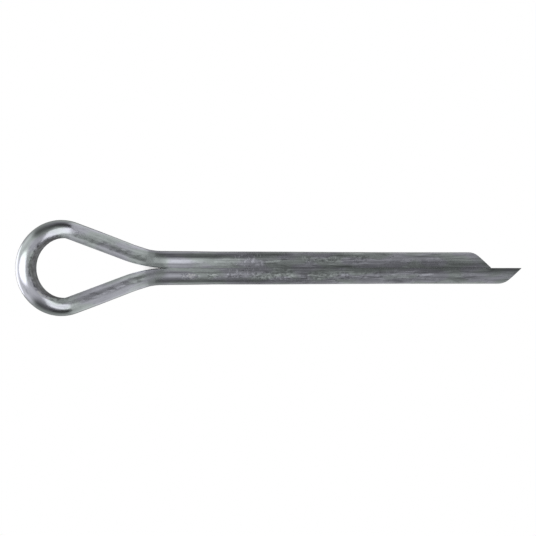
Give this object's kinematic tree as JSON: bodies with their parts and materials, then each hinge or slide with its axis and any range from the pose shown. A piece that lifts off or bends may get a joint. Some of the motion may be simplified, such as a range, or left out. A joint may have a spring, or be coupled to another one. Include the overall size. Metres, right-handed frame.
{
  "type": "cotter pin",
  "caption": "Bent half-round wire pin with an eye at one end and slanted prongs, pushed through a cross-drilled hole and spread to lock it.",
  "frame": {"origin": "on the shank's axis, in the plane where the straight shank begins under the eye", "axes": "+X along the shank from the eye towards the points, +Y towards the short prong, +Z square to the eye's plane"},
  "size_m": [0.0462, 0.0088, 0.0032],
  "materials": {
    "zinc_plate": "bright zinc plate over drawn steel wire, with lengthwise drawing lines, small pits and scuffs, duller along the shank than round the eye"
  },
  "bodies": {
    "root": {"cotter_pin": "zinc_plate"}
  },
  "joints": []
}
